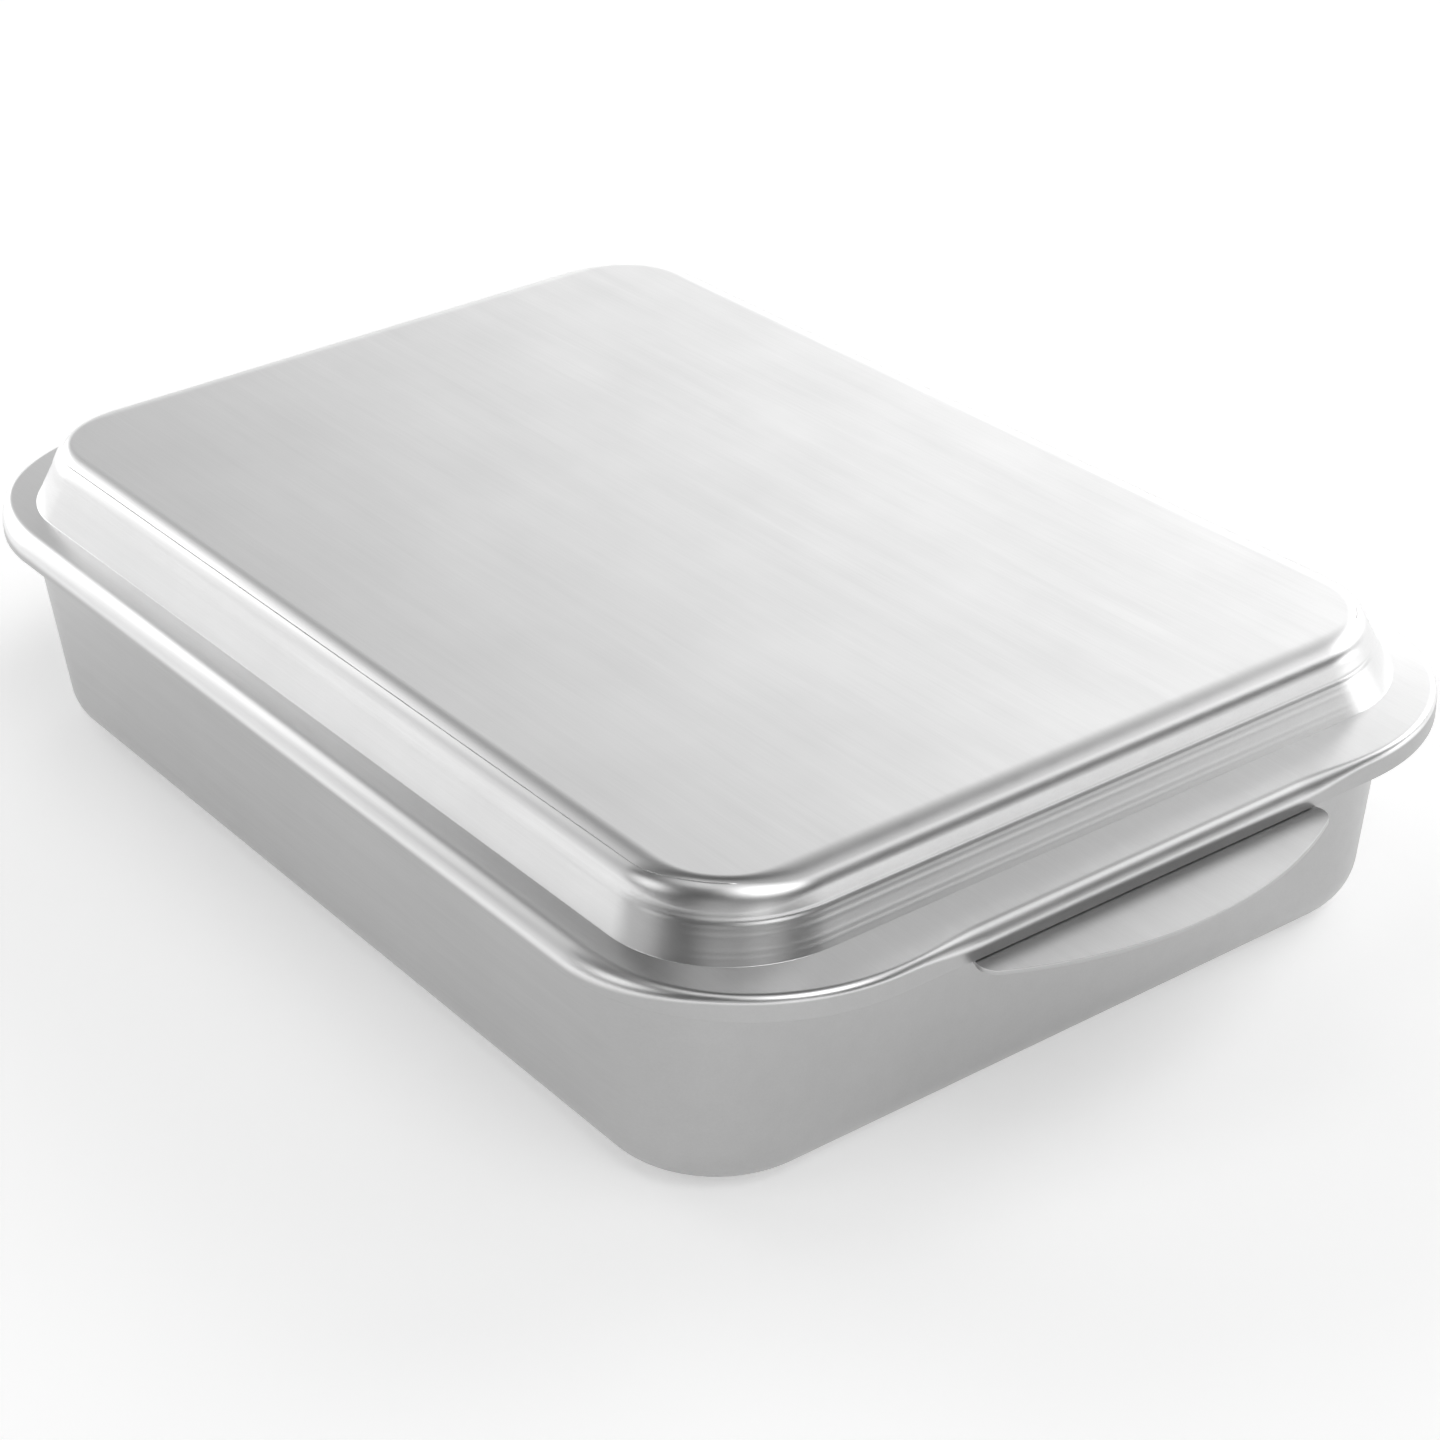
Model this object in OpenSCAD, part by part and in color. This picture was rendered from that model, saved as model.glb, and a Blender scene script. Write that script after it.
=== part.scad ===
// Covered cake pan: a drawn pan with a handle at each end, and a domed lid that presses over its rim.
// X runs along the pan, Y across it and Z up. The base rests on z = 0. Sizes are in millimetres.
//
// Each piece is one sheet. Its section is a bent strip of constant thickness, given as a path
// of corners with their bend radii, and it is carried round a rounded rectangle.
// All the walls, bends and corners are therefore true planes, cylinders, cones and tori.

/* [Pan] */
// Inside length at the rim
pan_length = 331; // [300:1:360]
// Inside width at the rim
pan_width = 237; // [210:1:260]
// Height from the base to the top of the rim
pan_height = 65.5; // [50:0.5:80]
// Thickness of the pan's sheet
pan_sheet = 1.2; // [0.8:0.1:1.5]
// Lean of the walls from the upright, in degrees
wall_lean = 5.5; // [2:0.5:8]
// Inside corner radius at the rim, seen from above
corner_radius = 36; // [30:1:44]
// Outer radius between the walls and the base
base_radius = 13; // [8:0.5:15]

/* [Rim] */
// Reach of the rim past the inside of the mouth, along each long side
rim_reach_side = 5.8; // [5.6:0.1:12]
// Reach of the rim past the inside of the mouth, at each end
rim_reach_end = 18.3; // [12:0.1:26]
// Corner radius of the rim's edge, seen from above
rim_corner_radius = 53; // [46:1:60]
// Bend radius between the wall and the rim, on the sheet's middle
mouth_bend = 1.5; // [1:0.1:1.7]
// Width and depth of the slant at the rim's edge
rim_slant = 1.9; // [1.6:0.1:2.1]
// Bend radius on both sides of that slant, on the sheet's middle
edge_bend = 1.6; // [1:0.1:1.8]
// Depth of the rim's turned-down edge
rim_edge_depth = 4.9; // [4.5:0.1:5.2]

/* [Handles] */
// Length of a handle from tip to tip
handle_length = 105; // [80:1:120]
// Reach of a handle past the rim's edge
handle_reach = 20.4; // [16:0.2:28]
// Radius of a handle's outer edge, seen from above
handle_curve = 104; // [90:1:140]
// Radius of a handle's tips
handle_tip = 5; // [3:0.5:7]
// Drop from the top of the rim to the top of a handle
handle_drop = 5.7; // [5.5:0.1:8]
// Bend radius between the rim's edge and a handle, on the sheet's middle
handle_bend = 1.1; // [0.8:0.1:1.2]

/* [Lid] */
// Thickness of the lid's sheet
lid_sheet = 1; // [0.7:0.1:1.4]
// Clearance between the rim's edge and the lid's skirt
skirt_clearance = 0.4; // [0.3:0.1:1]
// Clearance between the lid's skirt and the handles
handle_clearance = 0.3; // [0.2:0.1:1]
// Width of the lid's flat border at each end, from the skirt's face to the foot of the dome
border_end = 15.8; // [12:0.2:22]
// Width of the lid's flat border along each long side
border_side = 10.9; // [8.5:0.1:16]
// Corner radius at the foot of the dome, seen from above
dome_corner_radius = 34.5; // [28:0.5:46]

/* [Dome] */
// Height of the dome's sloping wall
wall_rise = 14.2; // [12:0.1:15]
// Distance that the wall leans in over its height
wall_run = 6; // [3:0.1:8]
// Height of the shoulder between the wall and the flat top
shoulder_rise = 2.3; // [1.5:0.1:4]
// Width of the shoulder
shoulder_run = 4.4; // [4.2:0.1:7]
// Bend radius at the foot of the dome, on the sheet's middle
foot_bend = 0.9; // [0.8:0.1:1.5]
// Bend radius between the wall and the shoulder, on the sheet's middle
brow_bend = 4.5; // [1:0.1:4.6]
// Bend radius between the shoulder and the flat top, on the sheet's middle
top_bend = 13; // [4:0.5:13]

/* [Hidden] */
$fn = 96;
pan_metal = [0.80, 0.80, 0.81];
lid_metal = [0.84, 0.84, 0.85];

// Overlap between neighbouring lengths of one sheet: at a bend, and where a section's flat end
// runs into a flat sheet. The flat sheets' outlines lie at whole multiples of the second.
bend_lap = 0.02;
flat_lap = 0.2;
function inward(x) = floor(x / flat_lap) * flat_lap;
function outward(x) = ceil(x / flat_lap) * flat_lap;

// The mouth is the inside of the pan at the top of the rim. The rim's edge lies outside it,
// and the lid's skirt outside the rim's edge. The foot of the dome lies inside the skirt.
mouth_x = pan_length / 2;
mouth_y = pan_width / 2;
rim_x = mouth_x + rim_reach_end;
rim_y = mouth_y + rim_reach_side;
skirt_offset = skirt_clearance + lid_sheet;
skirt_x = rim_x + skirt_offset;
skirt_y = rim_y + skirt_offset;
skirt_corner_radius = rim_corner_radius + skirt_offset;
dome_x = skirt_x - border_end;
dome_y = skirt_y - border_side;

// Heights of the sheets' middles.
base_level = pan_sheet / 2;
rim_level = pan_height - pan_sheet / 2;
handle_level = pan_height - handle_drop - pan_sheet / 2;
border_level = pan_height + lid_sheet / 2;
top_level = border_level + wall_rise + shoulder_rise;
rim_foot = pan_height - rim_edge_depth;
skirt_foot = pan_height - handle_drop + handle_clearance;

// The lid's slant lies over the rim's at the skirt's clearance.
sheet_step = (lid_sheet + pan_sheet) / 2;
skirt_slant = rim_slant + sheet_step - (sheet_step + skirt_clearance) * (sqrt(2) - 1);

// A path is a list of corners, each [outwards, up, bend radius], on the sheet's middle.
function place(corner) = [corner[0], corner[1]];
function unit(v) = v / norm(v);
function left_of(v) = [-v[1], v[0]];
function cross_of(u, v) = u[0] * v[1] - u[1] * v[0];
function heading(path, i) = unit(place(path[i + 1]) - place(path[i]));
function turn_between(u, v) = atan2(cross_of(u, v), u * v);
function turn(path, i) = turn_between(heading(path, i - 1), heading(path, i));
function is_end(path, i) = i == 0 || i == len(path) - 1;
// Length that a bend takes from each of the two straights beside it.
function bend_run(path, i) = path[i][2] * tan(abs(turn(path, i)) / 2);
// Length that a straight leaves free at a corner of the path. It laps a little over the bend.
function left_free(path, i) = is_end(path, i) ? 0 : bend_run(path, i) - bend_lap;

// One straight length of a bent strip.
module straight(path, i, sheet) {
    along = heading(path, i);
    side = left_of(along) * sheet / 2;
    start = place(path[i]) + along * left_free(path, i);
    end = place(path[i + 1]) - along * left_free(path, i + 1);
    polygon([start - side, end - side, end + side, start + side]);
}

// One bend of a bent strip: the part of a ring between the ends of its two straights.
module bend(path, i, sheet) {
    radius = path[i][2];
    before = left_of(heading(path, i - 1)) * sign(turn(path, i));
    after = left_of(heading(path, i)) * sign(turn(path, i));
    centre = place(path[i]) - heading(path, i - 1) * bend_run(path, i) + before * radius;
    reach = 2 * (radius + sheet);
    intersection() {
        translate(centre)
            difference() {
                circle(r = radius + sheet / 2);
                circle(r = radius - sheet / 2);
            }
        polygon([
            centre,
            centre - before * reach,
            centre - unit(before + after) * reach,
            centre - after * reach
        ]);
    }
}

// The section of a sheet bent along a path.
module bent_strip(path, sheet) {
    for (i = [0 : len(path) - 2])
        straight(path, i, sheet);
    for (i = [1 : len(path) - 2])
        bend(path, i, sheet);
}

// Carries a section round a rounded rectangle. The section's x is measured outwards from the outline.
module carried_round(half_x, half_y, radius) {
    for (side = [0 : 3]) {
        reach = side % 2 == 0 ? half_x : half_y;
        run = (side % 2 == 0 ? half_y : half_x) - radius;
        rotate([0, 0, 90 * side]) {
            translate([reach, run, 0])
                rotate([90, 0, 0])
                    linear_extrude(height = 2 * run)
                        children();
            translate([reach - radius, run, 0])
                rotate_extrude(angle = 90)
                    translate([radius, 0])
                        children();
        }
    }
}

// A rounded rectangle about the origin. The offset moves its whole outline outwards.
module rounded_rectangle(half_x, half_y, radius, offset = 0) {
    square([2 * (half_x + offset), 2 * (half_y - radius)], center = true);
    square([2 * (half_x - radius), 2 * (half_y + offset)], center = true);
    for (x = [-1, 1], y = [-1, 1])
        translate([x * (half_x - radius), y * (half_y - radius)])
            circle(r = radius + offset);
}

// A flat sheet whose middle lies at a level.
module flat_sheet(level, sheet) {
    translate([0, 0, level - sheet / 2])
        linear_extrude(height = sheet)
            children();
}

// The section of the pan's wall, outwards from the inside of the mouth: base, wall and rim.
wall_top = pan_sheet / 2 * (1 / cos(wall_lean) - tan(wall_lean));
wall_bottom = wall_top - (rim_level - base_level) * tan(wall_lean);
base_bend = base_radius - pan_sheet / 2;
base_edge = inward(wall_bottom - base_bend * tan((90 - wall_lean) / 2));
rim_start = outward(wall_top + mouth_bend * tan((90 - wall_lean) / 2));
wall_path = [
    [base_edge - flat_lap, base_level, 0],
    [wall_bottom, base_level, base_bend],
    [wall_top, rim_level, mouth_bend],
    [rim_start + flat_lap, rim_level, 0]
];

// The section of an edge that slants and then turns down, outwards from its outer face.
function edge_flat(slant, sheet) = inward(-sheet / 2 - slant - edge_bend * tan(45 / 2));
function edge_path(slant, sheet, level, foot) = [
    [edge_flat(slant, sheet) - flat_lap, level, 0],
    [-sheet / 2 - slant, level, edge_bend],
    [-sheet / 2, level - slant, edge_bend],
    [-sheet / 2, foot, 0]
];

// The section between the rim's edge and a handle, outwards from the rim's outer face.
handle_start = outward(handle_bend - pan_sheet / 2);
handle_path = [
    [-pan_sheet / 2, rim_foot, 0],
    [-pan_sheet / 2, handle_level, handle_bend],
    [handle_start + flat_lap, handle_level, 0]
];

// The section of the dome, outwards from the crease at its foot.
foot_turn = atan2(wall_rise, wall_run);
foot_edge = -lid_sheet / 2 * tan(foot_turn / 2);
foot_start = outward(foot_edge + foot_bend * tan(foot_turn / 2));
brow_edge = foot_edge - wall_run;
shoulder_edge = brow_edge - shoulder_run;
top_edge = inward(shoulder_edge - top_bend * tan(atan2(shoulder_rise, shoulder_run) / 2));
dome_path = [
    [foot_start + flat_lap, border_level, 0],
    [foot_edge, border_level, foot_bend],
    [brow_edge, border_level + wall_rise, brow_bend],
    [shoulder_edge, top_level, top_bend],
    [top_edge - flat_lap, top_level, 0]
];

// A handle seen from above: the centres of its long curve and of its tips, and the line where
// its bend ends, with half the length of that line.
handle_centre_x = rim_x + handle_reach - handle_curve;
handle_tip_y = handle_length / 2 - handle_tip;
handle_tip_x = handle_centre_x + sqrt(pow(handle_curve - handle_tip, 2) - pow(handle_tip_y, 2));
handle_root_x = rim_x + handle_start;
tip_to_root = min(handle_tip, abs(handle_tip_x - handle_root_x));
handle_root_y = handle_tip_y + sqrt(pow(handle_tip, 2) - pow(tip_to_root, 2));

// A handle's outline: one long curve between two rounded tips, cut off where the bend ends.
module handle_shape() {
    fan = [handle_tip_x - handle_centre_x, handle_tip_y] * 2;
    intersection() {
        translate([handle_centre_x, 0]) {
            intersection() {
                circle(r = handle_curve);
                polygon([[0, 0], [fan[0], -fan[1]], fan]);
            }
            for (y = [-handle_tip_y, handle_tip_y])
                translate([handle_tip_x - handle_centre_x, y])
                    circle(r = handle_tip);
            translate([0, -handle_tip_y])
                square([handle_tip_x - handle_centre_x, 2 * handle_tip_y]);
        }
        translate([handle_root_x, -handle_length])
            square([handle_reach, 2 * handle_length]);
    }
}

// A handle: the rim's edge bends outwards into a flat tab, as long as its outline is at the bend.
module handle() {
    flat_sheet(handle_level, pan_sheet)
        handle_shape();
    translate([rim_x, handle_root_y, 0])
        rotate([90, 0, 0])
            linear_extrude(height = 2 * handle_root_y)
                bent_strip(handle_path, pan_sheet);
}

// The pan is one drawn sheet with its handles.
module pan() {
    rim_flat = edge_flat(rim_slant, pan_sheet);
    color(pan_metal) {
        flat_sheet(base_level, pan_sheet)
            rounded_rectangle(mouth_x, mouth_y, corner_radius, base_edge);
        carried_round(mouth_x, mouth_y, corner_radius)
            bent_strip(wall_path, pan_sheet);
        flat_sheet(rim_level, pan_sheet)
            difference() {
                rounded_rectangle(rim_x, rim_y, rim_corner_radius, rim_flat);
                rounded_rectangle(mouth_x, mouth_y, corner_radius, rim_start);
            }
        carried_round(rim_x, rim_y, rim_corner_radius)
            bent_strip(edge_path(rim_slant, pan_sheet, rim_level, rim_foot), pan_sheet);
        for (end = [0, 180])
            rotate([0, 0, end])
                handle();
    }
}

// The lid is one drawn sheet: dome, flat border and skirt.
module lid() {
    border_flat = edge_flat(skirt_slant, lid_sheet);
    color(lid_metal) {
        flat_sheet(top_level, lid_sheet)
            rounded_rectangle(dome_x, dome_y, dome_corner_radius, top_edge);
        carried_round(dome_x, dome_y, dome_corner_radius)
            bent_strip(dome_path, lid_sheet);
        flat_sheet(border_level, lid_sheet)
            difference() {
                rounded_rectangle(skirt_x, skirt_y, skirt_corner_radius, border_flat);
                rounded_rectangle(dome_x, dome_y, dome_corner_radius, foot_start);
            }
        carried_round(skirt_x, skirt_y, skirt_corner_radius)
            bent_strip(edge_path(skirt_slant, lid_sheet, border_level, skirt_foot), lid_sheet);
    }
}

pan();
lid();
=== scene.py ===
# %% [markdown]
# A covered cake pan in plain aluminium. It is two pieces, each drawn from one sheet of metal: a pan with a
# flat handle at each end, and a domed lid that presses down over its rim. Nothing is painted or polished,
# so the whole look comes from the form of the bends and from how satin metal mirrors the room.
# The frame holds both pieces at their real size, as plain solids. The steps below give each one a finer
# mesh in the same place, then its metal, and then a floor and a studio to stand in.

# %% Load the frame
import math

import bmesh
import bpy
import numpy as np
from mathutils import Matrix, Vector


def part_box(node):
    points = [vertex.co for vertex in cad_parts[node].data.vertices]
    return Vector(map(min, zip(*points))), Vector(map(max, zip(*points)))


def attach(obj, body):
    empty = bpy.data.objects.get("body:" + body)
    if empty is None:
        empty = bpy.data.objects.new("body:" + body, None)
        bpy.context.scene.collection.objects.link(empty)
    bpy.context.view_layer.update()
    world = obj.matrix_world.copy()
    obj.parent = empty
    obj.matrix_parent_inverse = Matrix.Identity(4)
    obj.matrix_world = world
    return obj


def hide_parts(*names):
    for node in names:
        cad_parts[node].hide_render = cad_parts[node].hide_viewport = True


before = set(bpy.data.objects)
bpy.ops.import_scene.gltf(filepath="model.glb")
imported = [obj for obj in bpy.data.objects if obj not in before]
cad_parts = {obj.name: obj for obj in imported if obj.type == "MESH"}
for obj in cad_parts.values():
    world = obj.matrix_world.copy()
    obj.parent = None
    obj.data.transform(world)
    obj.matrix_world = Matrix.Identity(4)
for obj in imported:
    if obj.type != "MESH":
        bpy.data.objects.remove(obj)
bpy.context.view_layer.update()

mm = 0.001
scene = bpy.context.scene
lid_low, lid_high = (np.array(corner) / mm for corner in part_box("lid"))
pan_low, pan_high = (np.array(corner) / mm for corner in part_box("pan"))
print("lid, mm:", lid_low.round(2), lid_high.round(2))
print("pan, mm:", pan_low.round(2), pan_high.round(2))

# %% [markdown]
# The camera stands at a front corner, about 31 degrees above the table, with a long lens, a small roll and
# a small shift. A Track To constraint could aim it, but would leave no room for the roll. So its three axes
# are built from the angles, and its place is given along those axes, in mm from a point inside the pan.

# %% The camera
PICTURE = 1440
SENSOR_MM = 36
LENS_PX = 3299.0
CENTRE_PX = (600.0, 800.0)
AZIMUTH, ELEVATION, ROLL = (math.radians(angle) for angle in (56.39, 30.68, -2.97))
DISTANCE, ASIDE, ABOVE = 890.0, -19.3, -37.8
AIM = Vector((0, 0, 40))

back = Vector(
    (
        math.sin(AZIMUTH) * math.cos(ELEVATION),
        -math.cos(AZIMUTH) * math.cos(ELEVATION),
        math.sin(ELEVATION),
    )
)
level = Vector((math.cos(AZIMUTH), math.sin(AZIMUTH), 0))
upright = back.cross(level)
right = level * math.cos(ROLL) + upright * math.sin(ROLL)
up = upright * math.cos(ROLL) - level * math.sin(ROLL)

camera = bpy.data.objects.new("camera", bpy.data.cameras.new("camera"))
camera.data.sensor_width = SENSOR_MM
camera.data.lens = LENS_PX * SENSOR_MM / PICTURE
camera.data.shift_x = (PICTURE / 2 - CENTRE_PX[0]) / PICTURE
camera.data.shift_y = (CENTRE_PX[1] - PICTURE / 2) / PICTURE
axes = Matrix((right, up, back)).transposed().to_4x4()
place = (AIM + back * DISTANCE + right * ASIDE + up * ABOVE) * mm
camera.matrix_world = Matrix.Translation(place) @ axes
scene.collection.objects.link(camera)
scene.camera = camera
print("camera at", [round(c, 3) for c in place], "lens", round(camera.data.lens, 1), "mm")

# %% [markdown]
# Both pieces are bent sheets. Cut across, a bent sheet is a line of straight lengths with an arc at each
# corner. A Bevel modifier could round the corners of a plain mesh, but it gives them all one width unless
# every edge is weighted. Here each corner is written as (outwards, up, radius), in mm, with its own radius.

# %% Section of a bent sheet
GUARD = 0.25


def bend(before, corner, after, radius, steps):
    """The arc that rounds a corner. A guard point on the straight at each end of it keeps the smooth
    shading of the arc off the flat beside it."""
    arrive = (corner - before) / np.linalg.norm(corner - before)
    leave = (after - corner) / np.linalg.norm(after - corner)
    turn = math.atan2(arrive[0] * leave[1] - arrive[1] * leave[0], arrive @ leave)
    run = radius * math.tan(abs(turn) / 2)
    side = math.copysign(1, turn)
    centre = corner - arrive * run + np.array((-arrive[1], arrive[0])) * side * radius
    arm = corner - arrive * run - centre
    points = [corner - arrive * (run + GUARD)]
    for step in range(steps + 1):
        angle = turn * step / steps
        c, s = math.cos(angle), math.sin(angle)
        points.append(centre + np.array((c * arm[0] - s * arm[1], s * arm[0] + c * arm[1])))
    points.append(corner + leave * (run + GUARD))
    return points


def section(path, steps=7):
    """Points along a path of (outwards, up, radius) corners. Its two ends have no radius."""
    corners = [np.array(point[:2], float) for point in path]
    radii = [point[2] for point in path[1:-1]]
    points = [corners[0]]
    for before, corner, after, radius in zip(corners, corners[1:], corners[2:], radii):
        points += bend(before, corner, after, radius, steps)
    points.append(corners[-1])
    return np.array(points)


print("one bend takes", len(section([(0, 0), (10, 0, 2), (10, 10)])), "points")

# %% [markdown]
# Seen from above, each piece is a rounded rectangle, and its section is carried round it. A curve with a
# bevel object would do that for one fixed section, but here the section changes on the way. So the mesh is
# a grid: stations go round the outline, and rows go along the section. One quarter is worked out, and the
# other three mirror it.

# %% Stations round the outline
TIP_START, TIP_END = 0.62, 0.7256


def mix(a, b, share):
    return a + (b - a) * share


def stations():
    """One quarter from the middle of the +X end to the middle of the +Y side, as (part, share):
    part 0 is the half end, 1 the corner and 2 the half side, and share runs from 0 to 1 in each.
    They lie closest along the end where a handle's tip curls, from TIP_START to TIP_END."""
    stretches = (
        (0, 0, TIP_START, 16),
        (0, TIP_START, TIP_END, 12),
        (0, TIP_END, 1, 8),
        (1, 0, 1, 36),
        (2, 0, 1, 24),
    )
    quarter = []
    for part, first, last, steps in stretches:
        quarter += [(part, mix(first, last, i / steps)) for i in range(steps)]
    return quarter + [(2, 1.0)]


def on_outline(half_x, half_y, radius, station, offset=0):
    """A point of a rounded rectangle, moved outwards by an offset, in the first quarter."""
    part, share = station
    middle_x, middle_y = half_x - radius, half_y - radius
    if part == 0:
        return half_x + offset, middle_y * share
    if part == 2:
        return middle_x * (1 - share), half_y + offset
    angle = share * math.pi / 2
    reach = radius + offset
    return middle_x + reach * math.cos(angle), middle_y + reach * math.sin(angle)


def whole_round(quarter):
    """Mirrors a quarter's rows of points into the whole outline, anticlockwise from the +X end's middle.
    The last row given is the middle of the side, which the mirror shares."""
    flip_x, flip_y = np.array((-1, 1, 1)), np.array((1, -1, 1))
    half = np.concatenate([quarter, quarter[-2::-1] * flip_x])
    return np.concatenate([half, half[-2:0:-1] * flip_y])


print(4 * (len(stations()) - 1), "stations round each piece")

# %% Sizes that change round the outline
CORNER_BLEND = 0.8


def smooth(value, low, high):
    """0 below low, 1 above high, and an even S between."""
    t = min(max((value - low) / (high - low), 0), 1)
    return t * t * (3 - 2 * t)


def by_place(station, side, end, corner=None):
    """A size with one value along the sides and one along the ends, blended round the corners.
    Where a third value is given, the size also goes to that in the middle of each corner."""
    part, share = station
    end_share = (1.0, 1 - smooth(share, 0, 1), 0.0)[part]
    size = mix(side, end, end_share)
    if corner is None or part != 1:
        return size
    return mix(size, corner, smooth(1 - abs(2 * share - 1), 0, CORNER_BLEND))


end_shares = [by_place((1, turned), side=0, end=1) for turned in (0, 0.25, 0.5, 0.75, 1)]
print("the end's share round a corner:", [round(share, 2) for share in end_shares])

# %% [markdown]
# The lid is one deep-drawn sheet. From the middle outwards come the flat top, a wide shoulder, a smaller
# bend under it (the brow), a sloping wall, a sharp crease, a border that falls a little, and an edge that
# rolls down into a skirt. The roll is wide along the sides and ends and tight at the corners, where the
# metal gathers. That is why the section has to change from station to station.
# The outline and the roll come first, since the other parts of the section are measured from them.

# %% Outline and roll of the lid
SHEET_LID = 1.0
LID_TOP = lid_high[2]
RIM_TOP = pan_high[2]
BORDER_TOP = RIM_TOP + SHEET_LID
BORDER_FALL = 0.35
SKIRT = dict(half_x=lid_high[0], half_y=lid_high[1], radius=54.4)
SKIRT_FOOT = lid_low[2]
INSET_X, INSET_Y = 15.8, 10.9
DOME_X, DOME_Y = lid_high[0] - INSET_X, lid_high[1] - INSET_Y
DOME_OUT, DOME_RADII = (-19, -14, -5.3, 0, 1.5), (16, 20, 32, 34.5, 36)
ROLL_END, ROLL_CORNER, ROLL_SIDE = 4.2, 2.0, 5.4
END_NARROWS = (48, 70)
CORNER_WIDENS = (0.45, 1)


def on_dome(out, station):
    """A point of the dome's outline, outwards from its foot. Its corners tighten towards the top."""
    radius = np.interp(out, DOME_OUT, DOME_RADII)
    return on_outline(DOME_X + out, DOME_Y + out, radius, station)


def roll_reach(station):
    """How far in from the skirt's face the roll starts. It narrows near the end's corners, in mm from
    the end's middle, and widens again on the second half of the corner."""
    part, share = station
    if part == 0:
        along = share * (SKIRT["half_y"] - SKIRT["radius"])
        return mix(ROLL_END, ROLL_CORNER, smooth(along, *END_NARROWS))
    if part == 1:
        return mix(ROLL_CORNER, ROLL_SIDE, smooth(share, *CORNER_WIDENS))
    return ROLL_SIDE


def border_width(station):
    """Width of the border between the dome's foot and the roll."""
    roll = on_outline(**SKIRT, station=station, offset=-roll_reach(station))
    return math.dist(on_dome(0, station), roll)


print("border, mm:", [round(border_width(station), 1) for station in ((0, 0), (1, 0.5), (2, 1))])

# %% [markdown]
# The dome's wall isn't quite flat. The die has pulled shallow lines along it, which show as thin streaks of
# light and shade. A bump texture would draw them too, but the exported mesh would then have a plain wall.
# So each line is a small dip in the mesh, and the wall gets enough rows to hold them.

# %% The dome of the lid
TOP_IN = 19
SHOULDER_IN = dict(side=10.4, end=10.9)
SHOULDER_BEND = dict(side=10, end=13, corner=6)
BROW_IN, BROW_UP = 5.9, 14.2
BROW_BEND = dict(side=5.5, end=4.5, corner=8)
WALL_UP, WALL_IN = (0, 9.4, 10.1), (0, 4.3, 4.6)
WALL_ROWS = np.linspace(9.9, 1.3, 28)
LINES = (
    (8.9, 0.2, 0.55),
    (7.6, 0.05, 0.3),
    (6.1, 0.035, 0.35),
    (3.2, 0.03, 0.4),
    (1.9, 0.03, 0.3),
)
LINE_SHARE = dict(side=0.1, end=1)
FOOT_UP, FOOT_OUT = 1.2, 1.3
CREASE_IN, CREASE_BEND = 0.16, 0.2


def wall_out(rise, share):
    """How far out the wall's face is, at a height above the border. Each line is (height, depth, half
    width), and has the given share of its depth."""
    dips = [depth * math.exp(-(((rise - height) / width) ** 2)) for height, depth, width in LINES]
    return -np.interp(rise, WALL_UP, WALL_IN) - share * sum(dips)


def dome_section(station):
    """The dome's outer face, outwards from the crease at its foot, from the top to the border."""
    top = section(
        [
            (-TOP_IN, LID_TOP),
            (-by_place(station, **SHOULDER_IN), LID_TOP, by_place(station, **SHOULDER_BEND)),
            (-BROW_IN, BORDER_TOP + BROW_UP, by_place(station, **BROW_BEND)),
            (-WALL_IN[-1], BORDER_TOP + WALL_UP[-1]),
        ]
    )
    share = by_place(station, **LINE_SHARE)
    wall = [(wall_out(rise, share), BORDER_TOP + rise) for rise in WALL_ROWS]
    fall = BORDER_FALL / (border_width(station) + CREASE_IN)
    foot = section(
        [
            (wall_out(FOOT_UP, LINE_SHARE["side"]), BORDER_TOP + FOOT_UP),
            (-CREASE_IN, BORDER_TOP + BORDER_FALL, CREASE_BEND),
            (FOOT_OUT, BORDER_TOP + BORDER_FALL - (CREASE_IN + FOOT_OUT) * fall),
        ]
    )
    return np.concatenate([top, wall, foot[1:]])


print("rows over the dome:", len(dome_section((0, 0))))

# %% The edge of the lid, and the whole lid
ROLL_DEPTH = 1.05
SKIRT_STRAIGHT = 0.4
BORDER_END = 1.0


def edge_section(station, steps=12):
    """The edge's outer face, outwards from the skirt: the end of the border, a quarter of an ellipse,
    and straight down. On the border it has a guard point too."""
    reach = roll_reach(station)
    depth = min(reach * ROLL_DEPTH, BORDER_TOP - SKIRT_FOOT - SKIRT_STRAIGHT)
    fall = BORDER_FALL / border_width(station)
    points = [(-reach - run, BORDER_TOP + run * fall) for run in (BORDER_END, GUARD)]
    for step in range(steps + 1):
        angle = math.pi / 2 * step / steps
        out = -reach * (1 - math.sin(angle))
        points.append((out, BORDER_TOP - depth * (1 - math.cos(angle))))
    points += [(0, SKIRT_FOOT + GUARD), (0, SKIRT_FOOT)]
    return points


def lid_row(station):
    """All points of the lid's outer face at one station."""
    rows = [(*on_dome(out, station), z) for out, z in dome_section(station)]
    for out, z in edge_section(station):
        rows.append((*on_outline(**SKIRT, station=station, offset=out), z))
    return rows


lid_rows = whole_round(np.array([lid_row(station) for station in stations()]))
print("lid grid:", lid_rows.shape[:2], "points")

# %% [markdown]
# The pan is drawn from thicker sheet. The face that is made here is its inside: the flat base, the wide
# bend up into the leaning wall, the bend out into the flat rim, and the rim's edge, which turns down just
# inside the lid's skirt. The bowl keeps one section all round, so a swept curve would do for it, but the
# rim has to follow the roll of the lid above it, so that the two nest at every station.

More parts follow.
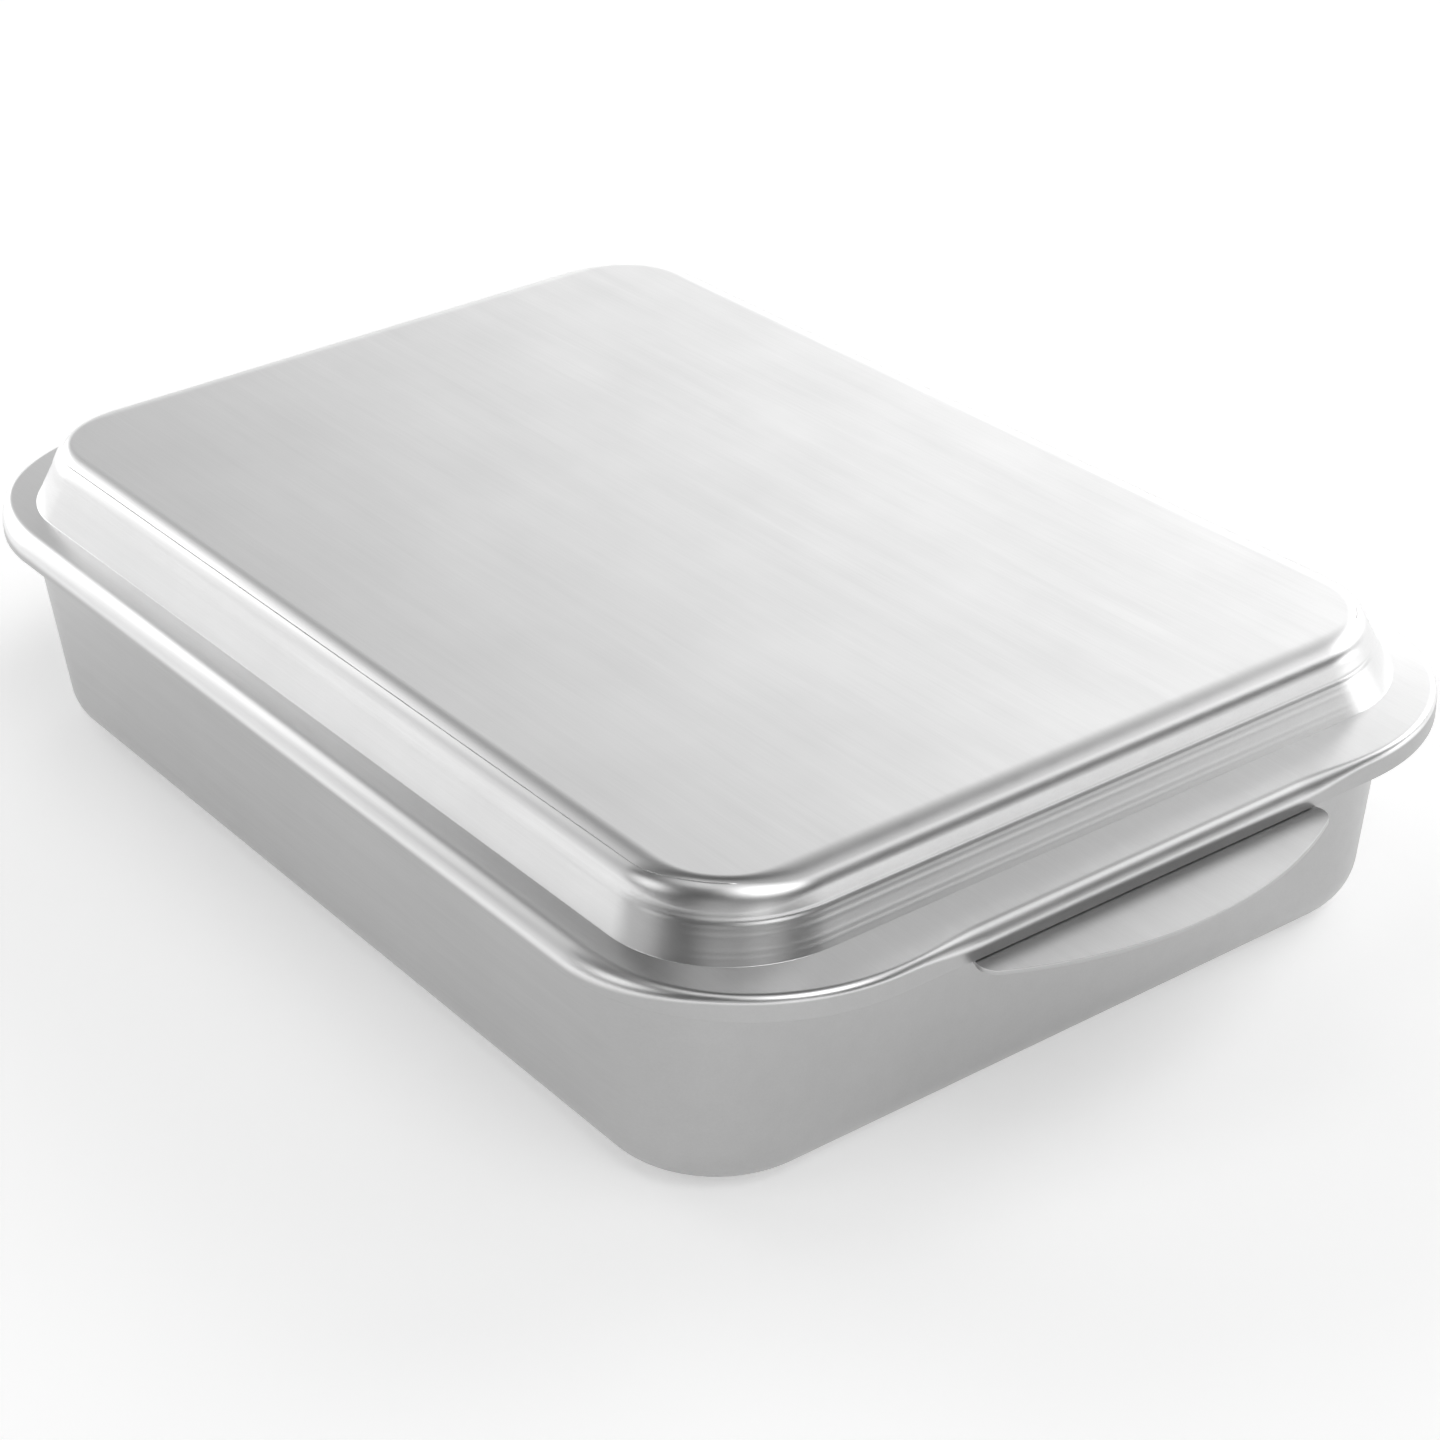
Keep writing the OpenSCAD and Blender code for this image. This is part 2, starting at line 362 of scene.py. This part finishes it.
# %% The pan
SHEET_PAN = 1.2
MOUTH = dict(half_x=165.5, half_y=118.5, radius=36.0)
MOUTH_BEND = 2.1
LEAN = math.tan(math.radians(5.5))
BASE_BEND = 13.0 - SHEET_PAN
BASE_FLAT = 1
RIM_GAP = 0.4
RIM_IN = SHEET_LID + RIM_GAP
RIM_FOOT = RIM_TOP - 4.9
RIM_START = 0.8
RIM_STRAIGHT = 0.6


def bowl_section():
    """The pan's inner face, outwards from the inside of the mouth, from the base to the rim."""
    foot = -(RIM_TOP - SHEET_PAN) * LEAN
    path = [
        (foot - BASE_BEND - BASE_FLAT, SHEET_PAN),
        (foot, SHEET_PAN, BASE_BEND),
        (0, RIM_TOP, MOUTH_BEND),
        (MOUTH_BEND + RIM_START, RIM_TOP),
    ]
    return section(path, steps=12)


def rim_section(station, steps=8):
    """The rim's outer face, outwards from the lid's skirt, under the roll of the lid."""
    reach = roll_reach(station) - RIM_IN
    depth = min(reach, RIM_TOP - RIM_FOOT - RIM_STRAIGHT)
    points = [(-reach - RIM_IN - run, RIM_TOP) for run in (RIM_STRAIGHT, GUARD)]
    for step in range(steps + 1):
        angle = math.pi / 2 * step / steps
        out = -reach * (1 - math.sin(angle)) - RIM_IN
        points.append((out, RIM_TOP - depth * (1 - math.cos(angle))))
    points.append((-RIM_IN, RIM_FOOT))
    return points


def pan_row(station):
    """All points of the pan's inner face at one station."""
    rows = [(*on_outline(**MOUTH, station=station, offset=out), z) for out, z in bowl_section()]
    for out, z in rim_section(station):
        rows.append((*on_outline(**SKIRT, station=station, offset=out), z))
    return rows


pan_rows = whole_round(np.array([pan_row(station) for station in stations()]))
print("pan grid:", pan_rows.shape[:2], "points")

# %% [markdown]
# A handle is a flat tab that bends out of the rim's edge. Its outline is one long curve between two tips
# with a small radius. A boolean cut would give that outline, but with long thin faces. Here the tab's
# lines fan out from the rim's edge to the outline, so its faces stay even and the tips curl in at the
# ends of the bend.

# %% Outline of a handle
HANDLE_REACH = pan_high[0]
HANDLE_CURVE = 104.0
HANDLE_TIP = 5.0
HANDLE_HALF = 52.5
ROOT_BEND = 0.5
EDGE_X = SKIRT["half_x"] - RIM_IN


def handle_outline(tip_steps=40, curve_steps=100):
    """Points along the tab's outline, close together, from the bend's -Y end to its +Y end."""
    centre_x = HANDLE_REACH - HANDLE_CURVE
    tip_y = HANDLE_HALF - HANDLE_TIP
    tip_x = centre_x + math.sqrt((HANDLE_CURVE - HANDLE_TIP) ** 2 - tip_y**2)
    start = math.pi - math.acos((tip_x - EDGE_X - ROOT_BEND) / HANDLE_TIP)
    sweep = math.atan2(tip_y, tip_x - centre_x)
    half = []
    for angle in np.linspace(start, sweep, tip_steps):
        half.append((tip_x + HANDLE_TIP * math.cos(angle), tip_y + HANDLE_TIP * math.sin(angle)))
    for angle in np.linspace(sweep, 0, curve_steps)[1:]:
        half.append((centre_x + HANDLE_CURVE * math.cos(angle), HANDLE_CURVE * math.sin(angle)))
    half = np.array(half)
    return np.concatenate([half * (1, -1), half[-2::-1]])


outline = handle_outline()
steps_along = np.linalg.norm(np.diff(outline, axis=0), axis=1)
length_along = np.concatenate([[0], np.cumsum(steps_along)])
print("handle outline:", length_along[-1].round(1), "mm long")

# %% Grid of a handle
HANDLE_TOP = RIM_TOP - 5.7
NEAR_EDGE = 0.985


def handle_rows(across=14, steps=5):
    """The tab's top face at the +X end. Each row starts at a station of the rim's edge, goes round
    the bend, and then out to the outline, at the same share of the outline's length."""
    straight = SKIRT["half_y"] - SKIRT["radius"]
    half_roots = [share * straight for part, share in stations() if part == 0 and share <= TIP_END]
    half_roots.append(TIP_END * straight)
    roots = sorted({round(sign * y, 6) for y in half_roots for sign in (-1, 1)})
    rows = []
    for root in roots:
        along = length_along[-1] * (0.5 + 0.5 * root / roots[-1])
        end = [np.interp(along, length_along, outline[:, axis]) for axis in (0, 1)]
        row = [(EDGE_X, root, RIM_FOOT)]
        for angle in np.linspace(0, math.pi / 2, steps + 1):
            out = EDGE_X + ROOT_BEND * (1 - math.cos(angle))
            row.append((out, root, HANDLE_TOP + ROOT_BEND * (1 - math.sin(angle))))
        for share in [*np.linspace(0, 1, across)[1:-1], NEAR_EDGE, 1]:
            x, y = (mix(a, b, share) for a, b in zip((EDGE_X + ROOT_BEND, root), end))
            row.append((x, y, HANDLE_TOP))
        rows.append(row)
    return np.array(rows)


tab = handle_rows()
print("handle grid:", tab.shape[:2], "points, reach", tab[..., 0].max().round(2), "mm")

# %% [markdown]
# Each face so far is a grid of points. It becomes one mesh of quads, with a single flat face over the
# middle. A mesh could also be filled from plain lists, but bmesh can merge points that meet, such as those
# where a handle joins the rim, so that there is no seam.

# %% From grids to a face
MERGE, SPECK = 2e-6, 1e-6


def add_grid(mesh, grid, closed):
    """Adds a grid's points and quads to a bmesh. A closed grid joins its last row to its first."""
    points = [[mesh.verts.new(point * mm) for point in row] for row in grid]
    following = points[1:] + points[:1] if closed else points[1:]
    for here, there in zip(points, following):
        for i in range(len(here) - 1):
            mesh.faces.new((here[i], here[i + 1], there[i + 1], there[i]))
    return points


def face_mesh(name, ring_grid, open_grids=()):
    """One mesh from a closed grid with a flat middle, and further grids that join its edge."""
    mesh = bmesh.new()
    rings = add_grid(mesh, ring_grid, closed=True)
    mesh.faces.new([row[0] for row in rings])
    for grid in open_grids:
        add_grid(mesh, grid, closed=False)
    bmesh.ops.remove_doubles(mesh, verts=mesh.verts, dist=MERGE)
    bmesh.ops.dissolve_degenerate(mesh, edges=mesh.edges, dist=SPECK)
    data = bpy.data.meshes.new(name)
    mesh.to_mesh(data)
    mesh.free()
    piece = bpy.data.objects.new(name, data)
    scene.collection.objects.link(piece)
    print(name, len(data.vertices), "points", len(data.polygons), "faces")
    return piece


half_turn = np.array((-1, -1, 1))
lid = face_mesh("lid_sheet", lid_rows)
pan = face_mesh("pan_sheet", pan_rows, (tab, tab * half_turn))

# %% [markdown]
# Sheet metal has one thickness everywhere, so the other face follows from the first by a rule. A Solidify
# modifier could do it, but Geometry Nodes show each step: Extrude Mesh moves the face inwards along its
# normals and adds the cut edge, the first face is joined back on, and the two are merged where they meet.
# The same tree serves both pieces, with the thickness and the metal as its inputs.

# %% A node tree that gives a face its thickness


def add(tree, kind, inputs=None, **settings):
    """Adds a node, sets its settings, and fills its inputs with values or links."""
    node = tree.nodes.new(kind)
    for name, value in settings.items():
        setattr(node, name, value)
    for key, value in (inputs or {}).items():
        if isinstance(value, bpy.types.NodeSocket):
            tree.links.new(value, node.inputs[key])
        else:
            node.inputs[key].default_value = value
    return node


def sheet_tree():
    """The tree, and the identifiers of its Thickness and Metal inputs."""
    tree = bpy.data.node_groups.new("sheet_of_one_thickness", "GeometryNodeTree")
    sockets = tree.interface
    sockets.new_socket("Face", in_out="INPUT", socket_type="NodeSocketGeometry")
    thickness = sockets.new_socket("Thickness", in_out="INPUT", socket_type="NodeSocketFloat")
    metal = sockets.new_socket("Metal", in_out="INPUT", socket_type="NodeSocketMaterial")
    sockets.new_socket("Sheet", in_out="OUTPUT", socket_type="NodeSocketGeometry")
    given = tree.nodes.new("NodeGroupInput").outputs
    inwards = add(tree, "ShaderNodeMath", {0: given["Thickness"], 1: -1.0}, operation="MULTIPLY")
    moved = add(
        tree,
        "GeometryNodeExtrudeMesh",
        {"Mesh": given["Face"], "Offset Scale": inwards.outputs[0], "Individual": False},
        mode="FACES",
    )
    turned_over = add(tree, "GeometryNodeFlipFaces", {"Mesh": moved.outputs["Mesh"]})
    both = add(tree, "GeometryNodeJoinGeometry", {"Geometry": turned_over.outputs["Mesh"]})
    tree.links.new(given["Face"], both.inputs["Geometry"])
    closed = add(
        tree, "GeometryNodeMergeByDistance", {"Geometry": both.outputs[0], "Distance": MERGE}
    )
    real = add(tree, "GeometryNodeRealizeInstances", {"Geometry": closed.outputs[0]})
    soft = add(tree, "GeometryNodeSetShadeSmooth", {"Geometry": real.outputs[0]})
    in_metal = add(
        tree,
        "GeometryNodeSetMaterial",
        {"Geometry": soft.outputs[0], "Material": given["Metal"]},
    )
    add(tree, "NodeGroupOutput", {"Sheet": in_metal.outputs[0]})
    return tree, thickness.identifier, metal.identifier


SHEET_TREE, THICKNESS_INPUT, METAL_INPUT = sheet_tree()
print("sheet tree:", len(SHEET_TREE.nodes), "nodes")

# %% [markdown]
# Mill-finish aluminium is rolled between ground steel rolls. They leave fine lines along the length of
# the sheet, and wider streaks where the lines crowd. To the eye that is a soft mirror: it shows where the
# room is light and dark, but no outline of anything in it. The metal is left bare, so its colour is the
# clean grey of aluminium, with a middling roughness.
# A picture of rolled metal could carry the marks, but it would stretch in the bends. Three noises on the
# object's own coordinates keep their size in mm everywhere. Each is (length, width, share). The grain and
# the streaks are stretched along X. Real grain is finer than 0.1 mm, so it is drawn coarser, to show at
# this distance. The third noise is the faint wear of handling, and has no direction.

# %% Marks of the rolls
GRAIN = (28.0, 0.45, 0.40)
STREAKS = (70.0, 4.0, 0.26)
WEAR = (45.0, 45.0, 0.34)
FAINTEST, STRONGEST = 0.36, 0.64
PER_METRE = 1 / mm


def linear(code):
    """An sRGB hex colour as linear RGBA."""
    parts = [int(code[i : i + 2], 16) / 255 for i in (1, 3, 5)]
    return (*[p / 12.92 if p <= 0.04045 else ((p + 0.055) / 1.055) ** 2.4 for p in parts], 1)


def rolled_marks(tree):
    """All marks together as a tone from 0, dull, to 1, bright, and the grain alone."""
    where = add(tree, "ShaderNodeTexCoord").outputs["Object"]
    marks = 0.0
    noises = []
    for length, width, share in (GRAIN, STREAKS, WEAR):
        across = PER_METRE / width
        lines = add(
            tree, "ShaderNodeMapping", {"Vector": where, "Scale": (PER_METRE / length, across, across)}
        )
        noise = add(
            tree,
            "ShaderNodeTexNoise",
            {"Vector": lines.outputs[0], "Scale": 1.0, "Detail": 3.0, "Roughness": 0.6},
        )
        noises.append(noise.outputs["Fac"])
        marks = add(
            tree, "ShaderNodeMath", {0: noises[-1], 1: share, 2: marks}, operation="MULTIPLY_ADD"
        ).outputs[0]
    tone = add(
        tree, "ShaderNodeMapRange", {"Value": marks, "From Min": FAINTEST, "From Max": STRONGEST}
    )
    return tone.outputs[0], noises[0]


print("light aluminium, linear:", [round(part, 3) for part in linear("#F2F2F2")])

# %% [markdown]
# A wall that is drawn deep is stretched, and a little duller than the flat sheet. So the colour is darker
# where a face is steep or looks down, which the normal's Z tells. It is made darker than stretching alone
# would do: that extra darkening is painted shade, a painted dark reflection of the darker things that the
# real walls mirrored. Under another light, raise it. The marks shift the tone and roughness a little, and
# the grain also gives a very shallow bump.

# %% Mill-finish aluminium
STEEP, SLOPED = 0.05, 0.35
BLUR_SHIFT = 0.03
GRAIN_DEPTH, GRAIN_STRENGTH = 0.02 * mm, 0.25


def mill_finish_aluminium(name, bright, dull, roughness, steep_dull_and_shade):
    """The sheet's material. Its marks run from dull to bright. The last argument is the share of its colour
    that a steep wall, or a face that looks down, keeps: partly the real dullness of stretched metal, partly
    painted shade."""
    metal = bpy.data.materials.new(name)
    metal.use_nodes = True
    tree = metal.node_tree
    tree.nodes.clear()
    tone, grain = rolled_marks(tree)
    colour = add(
        tree,
        "ShaderNodeMix",
        {"Factor": tone, "A": linear(dull), "B": linear(bright)},
        data_type="RGBA",
    )
    facing = add(tree, "ShaderNodeNewGeometry").outputs["Normal"]
    level = add(tree, "ShaderNodeSeparateXYZ", {0: facing}).outputs["Z"]
    # Painted shade: steep faces and faces that look down lose more colour than stretched metal really does.
    dulling_and_painted_shade = add(
        tree,
        "ShaderNodeMapRange",
        {"Value": level, "From Min": STEEP, "From Max": SLOPED, "To Min": steep_dull_and_shade},
        interpolation_type="SMOOTHSTEP",
    )
    returned = add(
        tree,
        "ShaderNodeMix",
        {"Factor": 1.0, "A": colour.outputs["Result"], "B": dulling_and_painted_shade.outputs[0]},
        data_type="RGBA",
        blend_type="MULTIPLY",
    )
    blur = add(
        tree,
        "ShaderNodeMapRange",
        {"Value": tone, "To Min": roughness + BLUR_SHIFT, "To Max": roughness - BLUR_SHIFT},
    )
    bump = add(
        tree,
        "ShaderNodeBump",
        {"Height": grain, "Strength": GRAIN_STRENGTH, "Distance": GRAIN_DEPTH},
    )
    surface = add(
        tree,
        "ShaderNodeBsdfPrincipled",
        {
            "Base Color": returned.outputs["Result"],
            "Roughness": blur.outputs[0],
            "Normal": bump.outputs[0],
            "Metallic": 1.0,
        },
    )
    add(tree, "ShaderNodeOutputMaterial", {"Surface": surface.outputs[0]})
    return metal


# The last argument is the colour kept on steep and downward faces: partly real dullness, partly painted
# shade.
lid_metal = mill_finish_aluminium(
    "mill_finish_aluminium_lid", bright="#F2F2F2", dull="#ECECEC", roughness=0.33, steep_dull_and_shade=0.55
)
pan_metal = mill_finish_aluminium(
    "mill_finish_aluminium_pan", bright="#EAEAEA", dull="#E4E4E4", roughness=0.35, steep_dull_and_shade=0.62
)
print("metals:", lid_metal.name, pan_metal.name)

# %% [markdown]
# Now each face gets its thickness and its metal. The cut edge of a real sheet is never knife sharp, so a
# Bevel rounds it by a hair, and it catches a thin line of light. The result is kept as a plain mesh, and
# takes the place of the frame's solid.

# %% Thickness, metal and place
CUT_ROUNDING = 0.18
CUT_ANGLE = math.radians(60)


def thicken(piece, thickness, metal):
    """Runs the tree on a face, rounds the cut edge a little, and keeps the result as a plain mesh."""
    sheet = piece.modifiers.new("sheet", "NODES")
    sheet.node_group = SHEET_TREE
    sheet[THICKNESS_INPUT] = thickness * mm
    sheet[METAL_INPUT] = metal
    cut = piece.modifiers.new("cut_edge", "BEVEL")
    cut.width = CUT_ROUNDING * mm
    cut.segments = 2
    cut.limit_method = "ANGLE"
    cut.angle_limit = CUT_ANGLE
    shown = piece.evaluated_get(bpy.context.evaluated_depsgraph_get())
    result = bpy.data.meshes.new_from_object(shown)
    piece.modifiers.clear()
    piece.data = result
    result.name = piece.name
    print(piece.name, "closed to", len(result.polygons), "faces")


thicken(lid, SHEET_LID, lid_metal)
thicken(pan, SHEET_PAN, pan_metal)
for piece, node, slot in ((lid, "lid", "lid_aluminium"), (pan, "pan", "pan_aluminium")):
    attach(piece, node)
    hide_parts(node)

# %% [markdown]
# The pan stands on white paper, so wide that its edge is far off. The paper is a plain matt white that
# takes the soft shadow. More light would make it whiter, but would also wash out the pan. Instead it glows
# a little, and only where the camera or the metal sees it: Light Path tells those rays from the ones that
# carry light from surface to surface.

# %% Floor
FLOOR_SIZE = 30.0
PAPER_GLOW = 0.36


def shown_rays(tree):
    """1 for a ray from the camera, off a glossy surface or through a clear one, and otherwise 0."""
    rays = add(tree, "ShaderNodeLightPath").outputs
    shown = 0.0
    for kind in ("Is Camera Ray", "Is Glossy Ray", "Is Transmission Ray"):
        shown = add(
            tree, "ShaderNodeMath", {0: rays[kind], 1: shown}, operation="MAXIMUM"
        ).outputs[0]
    return shown


edge = FLOOR_SIZE / 2
floor_mesh = bpy.data.meshes.new("floor")
floor_mesh.from_pydata(
    [(-edge, -edge, 0), (edge, -edge, 0), (edge, edge, 0), (-edge, edge, 0)], [], [(0, 1, 2, 3)]
)
floor = bpy.data.objects.new("floor", floor_mesh)
scene.collection.objects.link(floor)

paper = bpy.data.materials.new("white_paper")
paper.use_nodes = True
tree = paper.node_tree
tree.nodes.clear()
matt = add(tree, "ShaderNodeBsdfDiffuse", {"Color": linear("#FAFAFA")})
glow = add(tree, "ShaderNodeEmission", {"Color": (1, 1, 1, 1), "Strength": PAPER_GLOW})
dark = add(tree, "ShaderNodeEmission", {"Strength": 0.0})
lift = add(
    tree, "ShaderNodeMixShader", {0: shown_rays(tree), 1: dark.outputs[0], 2: glow.outputs[0]}
)
both = add(tree, "ShaderNodeAddShader", {0: matt.outputs[0], 1: lift.outputs[0]})
add(tree, "ShaderNodeOutputMaterial", {"Surface": both.outputs[0]})
floor_mesh.materials.append(paper)
print("floor:", FLOOR_SIZE, "m of", paper.name)

# %% [markdown]
# Metal only shows what stands round it, so the studio matters as much as the metal. Lamps would give hard
# spots in the bends. Instead, the world is a dark room with soft panels of light, and each panel is
# (azimuth, elevation, spread, strength), with angles in degrees. A panel is brightest in its middle and
# fades out over its spread. Its light is found from the angle between the ray and the panel's middle,
# which a dot product gives. Their places and strengths were fitted to the light and shade in the photograph,
# from this one camera. From other sides some are too strong, and the lid's top can turn plain white there.
# Just above the floor's far edge a low white backdrop hides the dark room behind it.

# %% Studio
PANELS = (
    (-170, 17, 28, 2.3),
    (180, 30, 20, 0.75),
    (-140, 4, 20, 0.9),
    (120, 4, 50, 1.4),
    (140, 4, 65, 0.25),
    (90, 30, 20, 3.2),
    (60, 4, 20, 2.4),
    (40, 4, 20, 0.2),
    (72, 57, 20, 0.85),
    (0, 57, 28, 2.6),
    (-20, 4, 20, 1.1),
    (-50, 17, 20, 0.4),
    (-112, 30, 20, 1.5),
    (-108, 73, 20, 1.0),
)
STUDIO_LEVEL = 0.95
BACKDROP_FULL, BACKDROP_END = 0.04, 0.09

world = bpy.data.worlds.new("soft_studio")
world.use_nodes = True
scene.world = world
tree = world.node_tree
tree.nodes.clear()
toward = add(tree, "ShaderNodeTexCoord").outputs["Generated"]
light = 0.0
for azimuth, elevation, spread, strength in PANELS:
    turn, rise = math.radians(azimuth), math.radians(elevation)
    middle = (math.cos(rise) * math.cos(turn), math.cos(rise) * math.sin(turn), math.sin(rise))
    near = add(tree, "ShaderNodeVectorMath", {0: toward, 1: middle}, operation="DOT_PRODUCT")
    panel = add(
        tree,
        "ShaderNodeMapRange",
        {
            "Value": near.outputs["Value"],
            "From Min": math.cos(math.radians(spread)),
            "From Max": 1.0,
            "To Max": strength,
        },
        interpolation_type="SMOOTHSTEP",
    )
    light = add(tree, "ShaderNodeMath", {0: panel.outputs[0], 1: light}).outputs[0]
height = add(tree, "ShaderNodeSeparateXYZ", {0: toward}).outputs["Z"]
band = add(
    tree,
    "ShaderNodeMapRange",
    {
        "Value": height,
        "From Min": BACKDROP_FULL,
        "From Max": BACKDROP_END,
        "To Min": 1.0,
        "To Max": 0.0,
    },
)
backdrop = add(
    tree, "ShaderNodeMath", {0: band.outputs[0], 1: shown_rays(tree)}, operation="MULTIPLY"
)
light = add(tree, "ShaderNodeMath", {0: light, 1: backdrop.outputs[0]}, operation="MAXIMUM")
studio = add(tree, "ShaderNodeBackground", {"Color": light.outputs[0], "Strength": STUDIO_LEVEL})
add(tree, "ShaderNodeOutputWorld", {"Surface": studio.outputs[0]})
scene.view_settings.view_transform = "Standard"
print("studio:", len(PANELS), "soft panels and a backdrop")
